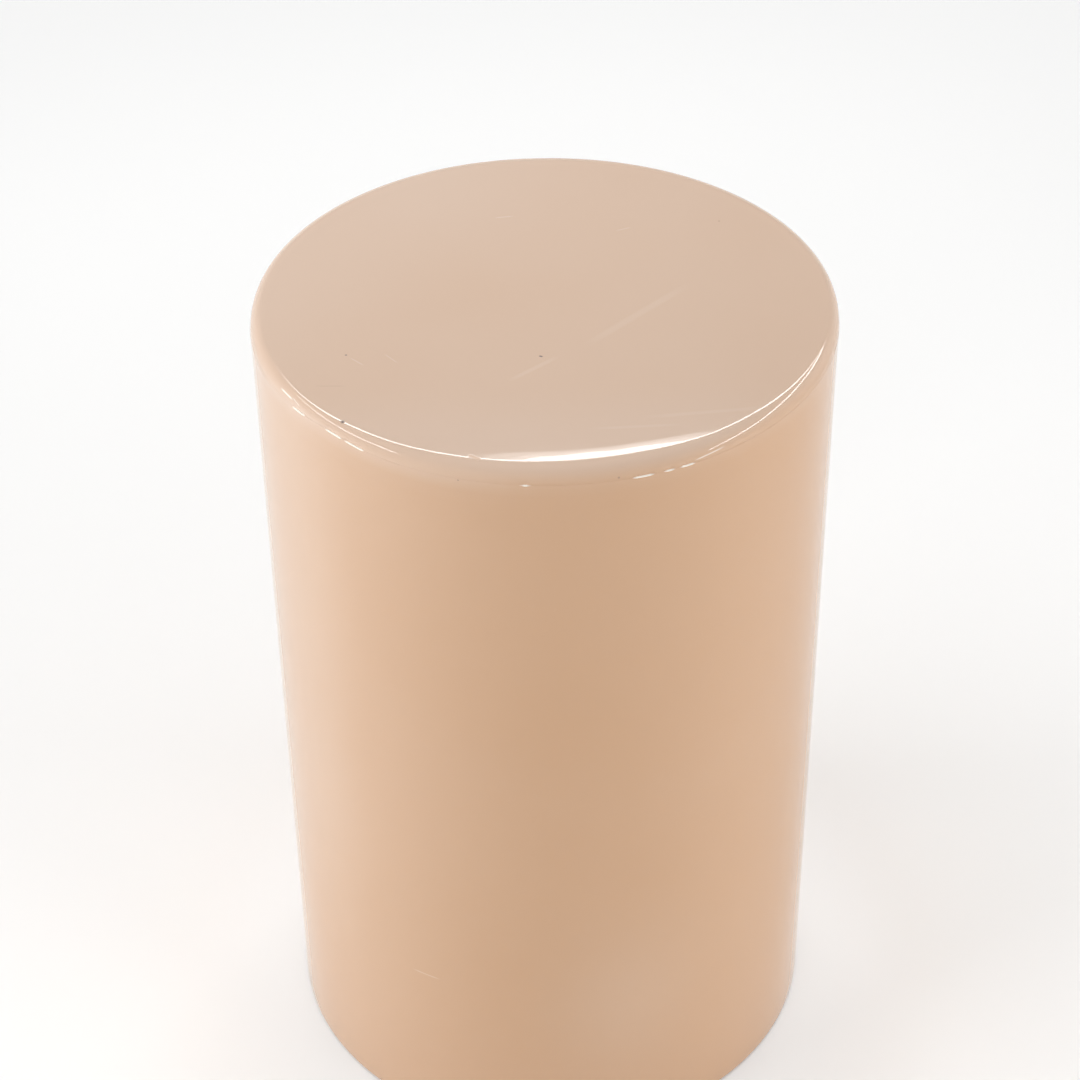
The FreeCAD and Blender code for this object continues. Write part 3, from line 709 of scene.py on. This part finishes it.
def ranged(tree, value, low, high, to_low=0.0, to_high=1.0):
    """Value taken smoothly from one range to another and held at its ends."""
    node = add_node(tree, "ShaderNodeMapRange", {"interpolation_type": "SMOOTHSTEP"},
                    Value=value, From_Min=low, From_Max=high, To_Min=to_low, To_Max=to_high)
    return node.outputs[0]


def noise(tree, coordinates, scale, detail=2.0, stretch=(1.0, 1.0, 1.0)):
    """Noise over the piece's own coordinates, stretched along its axes."""
    place = add_node(tree, "ShaderNodeMapping", Vector=coordinates, Scale=stretch).outputs[0]
    return add_node(tree, "ShaderNodeTexNoise", Vector=place, Scale=scale, Detail=detail).outputs[0]


def blend(tree, share, first, second):
    """Mix of two colours."""
    node = add_node(tree, "ShaderNodeMix", {"data_type": "RGBA", "clamp_factor": False},
                    i0=share, i6=first, i7=second)
    return node.outputs[2]


def solid(colour):
    """Colour with full opacity."""
    return (colour[0], colour[1], colour[2], 1.0)


def shaded(colour, factors):
    """Colour with each channel times its own factor and full opacity."""
    return solid([channel * factor for channel, factor in zip(colour, factors)])


def bump(tree, height, distance, strength=1.0):
    """Normal bent by a height."""
    return add_node(tree, "ShaderNodeBump", Height=height, Distance=distance, Strength=strength).outputs[0]


def vector_maths(tree, operation, first, second, output="Vector"):
    """Vector or value of one step of vector arithmetic."""
    node = add_node(tree, "ShaderNodeVectorMath", {"operation": operation}, i0=first, i1=second)
    return node.outputs[output]


def streak(tree, coordinates, start, end, width):
    """One along a line between two places on the piece.

    It fades to nothing at half its width to each side, and towards both ends where the line is long.
    """
    along = Vector(end) - Vector(start)
    pull = along / max(along.length_squared, 1e-9)
    offset = vector_maths(tree, "SUBTRACT", coordinates, start)
    way = vector_maths(tree, "DOT_PRODUCT", offset, pull, "Value")
    share = maths(tree, "MINIMUM", maths(tree, "MAXIMUM", way), 1.0)
    reached = add_node(tree, "ShaderNodeVectorMath", {"operation": "SCALE"}, i0=along, Scale=share)
    away = vector_maths(tree, "DISTANCE", offset, reached.outputs["Vector"], "Value")
    line = ranged(tree, away, 0.1 * width, 0.5 * width, 1.0, 0.0)
    if along.length < 2.0 * width:
        return line
    ends = maths(tree, "PINGPONG", share, 0.5)
    return maths(tree, "MULTIPLY", line, ranged(tree, ends, 0.0, 0.3))


def attribute(tree, name):
    """Value stored on the points of the piece."""
    return add_node(tree, "ShaderNodeAttribute", {"attribute_name": name}).outputs["Fac"]


def dress(tree, shader, colour, rough, normal=None):
    """Give the shader its colour, its roughness and, where there is one, its bent normal."""
    tree.links.new(colour, shader.inputs["Base Color"])
    tree.links.new(rough, shader.inputs["Roughness"])
    if normal is not None:
        tree.links.new(normal, shader.inputs["Normal"])


def lacquer_material(settings, name, marks, glints):
    """Glossy lacquer, faded and with painted sheen as the points of the piece say.

    It is a little mottled and hazy, with faint orange peel and marks at given places, and painted pale as
    a glint where the points say, if asked.
    """
    material, tree, shader, coordinates = new_material(name)
    mottle = noise(tree, coordinates, MOTTLE_CELLS, 3.0)
    mottle = ranged(tree, mottle, 0.35, 0.65, -settings.mottle, settings.mottle)
    fade_and_sheen = maths(tree, "ADD", attribute(tree, "fade_and_sheen"), mottle)
    colour = blend(tree, fade_and_sheen, solid(settings.colour), solid(settings.fade_and_sheen))
    haze = noise(tree, coordinates, HAZE_CELLS, 4.0)
    rough = ranged(tree, haze, 0.45, 0.75, settings.roughness, settings.roughness + settings.haze)
    # Painted glint: where the points say, the colour turns to the pale undercoat.
    if glints:
        rub_and_glint = attribute(tree, "rub_and_glint")
        colour = blend(tree, rub_and_glint, colour, solid(settings.undercoat_and_glint))
        rough = maths(tree, "MAXIMUM", rough, maths(tree, "MULTIPLY", rub_and_glint, settings.glint_roughness))
    paints = {"speck": settings.dirt, "rub_and_glint": settings.undercoat_and_glint, "dull": settings.fade_and_sheen}
    for kind, start, end, width, strength in marks:
        line = streak(tree, coordinates, Vector(start) * MM, Vector(end) * MM, width * MM)
        share = maths(tree, "MULTIPLY", line, strength)
        colour = blend(tree, share, colour, solid(paints[kind]))
        if kind != "rub_and_glint":
            rough = maths(tree, "MAXIMUM", rough, maths(tree, "MULTIPLY", share, settings.mark_roughness))
    peel = noise(tree, coordinates, PEEL_CELLS)
    dress(tree, shader, colour, rough, bump(tree, peel, settings.peel))
    shader.inputs["IOR"].default_value = settings.gloss
    return material


def plywood_material(finish, name):
    """Birch plywood: fine stretched grain on the faces and thin plies at the edges."""
    material, tree, shader, coordinates = new_material(name)
    normal = add_node(tree, "ShaderNodeNewGeometry").outputs["Normal"]
    place = add_node(tree, "ShaderNodeSeparateXYZ", Vector=coordinates)
    facing = add_node(tree, "ShaderNodeSeparateXYZ", Vector=normal)
    grain = noise(tree, coordinates, BIRCH_CELLS, 6.0, BIRCH_STRETCH)
    shade = shaded(finish.birch, BIRCH_SHADE)
    face = blend(tree, ranged(tree, grain, 0.35, 0.7), solid(finish.birch), shade)
    ply = maths(tree, "PINGPONG", place.outputs["Z"], PLY)
    edge = blend(tree, ranged(tree, ply, GLUE_START, GLUE_FULL), solid(finish.birch), solid(finish.glue))
    level = maths(tree, "ABSOLUTE", facing.outputs["Z"])
    colour = blend(tree, ranged(tree, level, 0.4, 0.6), edge, face)
    rough = ranged(tree, grain, 0.3, 0.7, 0.5, 0.68)
    dress(tree, shader, colour, rough, bump(tree, grain, WOOD_GRAIN, 0.6))
    return material


def pine_material(finish, name):
    """Softwood: growth rings wandering across the post and drawn out along it."""
    material, tree, shader, coordinates = new_material(name)
    wander = maths(tree, "MULTIPLY", noise(tree, coordinates, PINE_CELLS, 3.0, PINE_STRETCH), RING_WANDER)
    place = add_node(tree, "ShaderNodeSeparateXYZ", Vector=coordinates)
    count = maths(tree, "ADD", maths(tree, "MULTIPLY", place.outputs["X"], PINE_RINGS[0]),
                  maths(tree, "MULTIPLY", place.outputs["Y"], PINE_RINGS[1]))
    rings = maths(tree, "PINGPONG", maths(tree, "ADD", count, wander), 1.0)
    late = ranged(tree, rings, 0.45, 1.0, 0.0, 0.9)
    colour = blend(tree, late, solid(finish.pine), shaded(finish.pine, PINE_SHADE))
    fibre = noise(tree, coordinates, FIBRE_CELLS, 3.0, FIBRE_STRETCH)
    rough = ranged(tree, fibre, 0.3, 0.7, 0.52, 0.72)
    dress(tree, shader, colour, rough, bump(tree, fibre, WOOD_GRAIN, 0.7))
    return material


def nylon_material(finish, name):
    """Moulded nylon: nearly even, with a fine matt grain."""
    material, tree, shader, coordinates = new_material(name)
    cloud = noise(tree, coordinates, NYLON_CELLS)
    shade = shaded(finish.nylon, NYLON_SHADE)
    colour = blend(tree, ranged(tree, cloud, 0.4, 0.65), solid(finish.nylon), shade)
    grain = noise(tree, coordinates, NYLON_GRAIN_CELLS, 1.0)
    rough = ranged(tree, cloud, 0.3, 0.7, 0.38, 0.5)
    dress(tree, shader, colour, rough, bump(tree, grain, NYLON_GRAIN))
    return material


def zinc_material(finish, name):
    """Bright zinc plate with cloudy passivation."""
    material, tree, shader, coordinates = new_material(name)
    cloud = noise(tree, coordinates, ZINC_CELLS, 3.0)
    shade = shaded(finish.zinc, ZINC_SHADE)
    colour = blend(tree, ranged(tree, cloud, 0.4, 0.65), solid(finish.zinc), shade)
    dress(tree, shader, colour, ranged(tree, cloud, 0.3, 0.7, 0.24, 0.4))
    shader.inputs["Metallic"].default_value = 1.0
    return material


def coat(piece, material):
    """Give a piece one material."""
    piece.data.materials.clear()
    piece.data.materials.append(material)


class DRUM_OT_top(bpy.types.Operator):
    """Add the lacquered top"""

    bl_idname = "drum_table.add_top"
    bl_label = "Lacquered top"

    def execute(self, context):
        settings = context.scene.drum_table
        radius, height, azimuth, fade_and_sheen = top_surface(settings.shell)
        piece = turned_solid("lacquered_top", radius, height, azimuth)
        store(piece, "fade_and_sheen", np.append(fade_and_sheen.ravel(), (fade_and_sheen[0].mean(), fade_and_sheen[-1].mean())))
        coat(piece, lacquer_material(settings.lacquer, "Top lacquer", TOP_MARKS, glints=False))
        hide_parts("top_panel")
        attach(piece, "root")
        return {"FINISHED"}


class DRUM_OT_wall(bpy.types.Operator):
    """Add the lacquered wall"""

    bl_idname = "drum_table.add_wall"
    bl_label = "Lacquered wall"

    def execute(self, context):
        settings = context.scene.drum_table
        radius, height, azimuth, fade_and_sheen, rub_and_glint = wall_surface(settings.shell)
        piece = turned_hoop("lacquered_wall", radius, height, azimuth)
        store(piece, "fade_and_sheen", fade_and_sheen.ravel())
        # Share of painted glint on the crown of the wall.
        store(piece, "rub_and_glint", rub_and_glint.ravel())
        coat(piece, lacquer_material(settings.lacquer, "Wall lacquer", WALL_MARKS, glints=True))
        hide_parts("outer_skin")
        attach(piece, "root")
        return {"FINISHED"}


class DRUM_OT_screws(bpy.types.Operator):
    """Add the threaded screws that hold the frame together"""

    bl_idname = "drum_table.add_screws"
    bl_label = "Screws"

    def execute(self, context):
        settings = context.scene.drum_table
        screw = settings.screw
        wood = (screw.thread, screw.head)
        glide = (screw.glide_thread, screw.glide_head)
        groups = {
            "top_screws": (*upright_screws("top_screws", 45.0, screw.head), *wood),
            "base_screws": (*upright_screws("base_screws", 45.0, screw.head), *wood),
            "post_screws": (spoke_screws("post_screws", 3, screw.head), screw.post_length, *wood),
            "glide_screws": (*upright_screws("glide_screws", 0.0, screw.glide_head), *glide),
        }
        material = zinc_material(settings.finish, "Zinc plate")
        for node, (places, length, thread, head) in groups.items():
            piece = screw_group("threaded_" + node, screw, places, length, thread, head)
            coat(piece, material)
            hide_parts(node)
            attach(piece, "root")
        return {"FINISHED"}


class DRUM_OT_finishes(bpy.types.Operator):
    """Give the unpainted pieces of the frame their wood and nylon"""

    bl_idname = "drum_table.add_finishes"
    bl_label = "Frame finishes"

    def execute(self, context):
        finish = context.scene.drum_table.finish
        plywood = plywood_material(finish, "Birch plywood")
        pine = pine_material(finish, "Pine")
        nylon = nylon_material(finish, "Nylon")
        groups = (
            (plywood, ("upper_ring", "middle_ring", "lower_ring", "base_panel", "inner_skin")),
            (pine, ("post_front", "post_right", "post_back", "post_left")),
            (nylon, ("glide_front", "glide_right", "glide_back", "glide_left")),
        )
        for material, names in groups:
            for name in names:
                coat(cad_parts[name], material)
        return {"FINISHED"}


def seen_rays(tree):
    """One for rays from the camera and for those that gloss or glass sends on, so all see one background."""
    rays = add_node(tree, "ShaderNodeLightPath").outputs
    sent_on = maths(tree, "MAXIMUM", rays["Is Glossy Ray"], rays["Is Transmission Ray"])
    return maths(tree, "MAXIMUM", rays["Is Camera Ray"], sent_on)


def add_floor(studio):
    """Plain pale floor under the table.

    It turns to the white of the background far from the table, and close to its foot it is part white, a
    painted light that lifts the shade there, but not under the wall, which keeps its dark line.
    """
    half = 0.5 * studio.floor_width
    corners = np.array([[-half, -half, 0.0], [half, -half, 0.0], [half, half, 0.0], [-half, half, 0.0]])
    floor = add_piece("floor", corners, [[0, 1, 2, 3]], SHARP)
    material, tree, shader, coordinates = new_material("Floor paint")
    shader.inputs["Base Color"].default_value = solid(studio.floor_colour)
    shader.inputs["Roughness"].default_value = 0.9
    shader.inputs["Specular IOR Level"].default_value = 0.1
    distance = vector_maths(tree, "LENGTH", coordinates, (0.0, 0.0, 0.0), "Value")
    away = ranged(tree, distance, studio.fade_start, studio.fade_end)
    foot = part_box("outer_skin")[1].x
    dark_within = foot - 0.002
    pale_beyond = foot + 0.001
    # Painted light lifting the shade on the floor next to the foot.
    beside = ranged(tree, distance, foot, foot + studio.foot_reach, studio.painted_foot_light, 0.0)
    outside = ranged(tree, distance, dark_within, pale_beyond)
    pale = maths(tree, "MAXIMUM", away, maths(tree, "MULTIPLY", beside, outside))
    share = maths(tree, "MULTIPLY", pale, seen_rays(tree))
    white = add_node(tree, "ShaderNodeEmission", Color=WHITE, Strength=1.0).outputs[0]
    mixed = add_node(tree, "ShaderNodeMixShader", i0=share, i1=shader.outputs[0], i2=white).outputs[0]
    tree.links.new(mixed, tree.nodes["Material Output"].inputs["Surface"])
    coat(floor, material)


def place_lamp(name, brightness, size, spread, matrix):
    """Rectangular lamp whose face is as bright as asked; its power is brightness times pi times its area."""
    data = bpy.data.lights.new(name, "AREA")
    data.shape = "RECTANGLE"
    data.size, data.size_y = size
    data.energy = brightness * np.pi * size[0] * size[1]
    data.spread = np.radians(spread)
    lamp = bpy.data.objects.new(name, data)
    lamp.matrix_world = matrix
    lamp.visible_camera = False
    bpy.context.scene.collection.objects.link(lamp)
    return lamp


def add_lamp(name, place, aim, size, brightness, spread, shows):
    """Softbox at a place, pointing at its aim."""
    turn = (Vector(aim) - Vector(place)).to_track_quat("-Z", "Y").to_matrix().to_4x4()
    lamp = place_lamp(name, brightness, size, spread, Matrix.Translation(place) @ turn)
    lamp.visible_glossy = shows


def add_strip(name, start, end, width, brightness):
    """Strip lamp along a line, facing the table, that lights nothing but the gloss."""
    along = Vector(end) - Vector(start)
    middle = 0.5 * (Vector(end) + Vector(start))
    across = (middle - Vector(STRIP_AIM)).cross(along).normalized()
    back = along.cross(across).normalized()
    turn = Matrix((along.normalized(), across, back)).transposed().to_4x4()
    size = (along.length, width)
    lamp = place_lamp(name, brightness, size, STRIP_SPREAD, Matrix.Translation(middle) @ turn)
    lamp.visible_diffuse = False


def add_dome(studio):
    """Even light from all around that the camera and the gloss see as white."""
    world = bpy.data.worlds.new("Studio dome")
    world.use_nodes = True
    tree = world.node_tree
    strength = maths(tree, "ADD", studio.dome, maths(tree, "MULTIPLY", seen_rays(tree), 1.0 - studio.dome))
    tree.links.new(strength, tree.nodes["Background"].inputs["Strength"])
    tree.nodes["Background"].inputs["Color"].default_value = WHITE
    bpy.context.scene.world = world


def add_camera(studio):
    """Camera that looks down at the axis of the drum, turned and rolled a little."""
    down, side, tilt = studio.pitch, studio.yaw, studio.roll
    ahead = np.array([0.0, np.cos(down), -np.sin(down)])
    right = np.array([1.0, 0.0, 0.0])
    up = np.array([0.0, np.sin(down), np.cos(down)])
    place = np.array([0.0, 0.0, studio.aim_height]) - studio.distance * ahead
    ahead, right = np.cos(side) * ahead + np.sin(side) * right, np.cos(side) * right - np.sin(side) * ahead
    right, up = np.cos(tilt) * right + np.sin(tilt) * up, np.cos(tilt) * up - np.sin(tilt) * right
    data = bpy.data.cameras.new("Photo camera")
    data.sensor_width = SENSOR_WIDTH
    data.lens = studio.lens
    camera = bpy.data.objects.new("Photo camera", data)
    turned = Matrix((right, up, -ahead)).transposed().to_4x4()
    camera.matrix_world = Matrix.Translation(place) @ turned
    bpy.context.scene.collection.objects.link(camera)
    bpy.context.scene.camera = camera


class DRUM_OT_studio(bpy.types.Operator):
    """Add the floor, the lamps and the camera"""

    bl_idname = "drum_table.add_studio"
    bl_label = "Studio"

    def execute(self, context):
        studio = context.scene.drum_table.studio
        add_floor(studio)
        add_dome(studio)
        for lamp in LAMPS:
            add_lamp(*lamp)
        for strip in STRIPS:
            add_strip(*strip)
        add_camera(studio)
        context.scene.view_settings.view_transform = "Standard"
        return {"FINISHED"}


class DRUM_PT_panel(bpy.types.Panel):
    """Buttons for the pieces of the drum table"""

    bl_label = "Drum table"
    bl_idname = "DRUM_PT_panel"
    bl_space_type = "VIEW_3D"
    bl_region_type = "UI"
    bl_category = "Drum table"

    def draw(self, context):
        settings = context.scene.drum_table
        for operator in OPERATORS:
            self.layout.operator(operator.bl_idname)
        for group in (settings.lacquer, settings.shell, settings.screw, settings.finish, settings.studio):
            box = self.layout.box()
            for name in group.bl_rna.properties.keys():
                if name not in ("rna_type", "name"):
                    box.prop(group, name)


OPERATORS = (DRUM_OT_top, DRUM_OT_wall, DRUM_OT_screws, DRUM_OT_finishes, DRUM_OT_studio)
GROUPS = (LacquerSettings, ShellSettings, ScrewSettings, FinishSettings, StudioSettings, TableSettings)
CLASSES = GROUPS + OPERATORS + (DRUM_PT_panel,)


def register():
    for item in CLASSES:
        bpy.utils.register_class(item)
    bpy.types.Scene.drum_table = PointerProperty(type=TableSettings)


def unregister():
    del bpy.types.Scene.drum_table
    for item in reversed(CLASSES):
        bpy.utils.unregister_class(item)


def main():
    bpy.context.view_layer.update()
    register()
    bpy.ops.drum_table.add_top()
    bpy.ops.drum_table.add_wall()
    bpy.ops.drum_table.add_screws()
    bpy.ops.drum_table.add_finishes()
    bpy.ops.drum_table.add_studio()


if __name__ == "__main__":
    main()
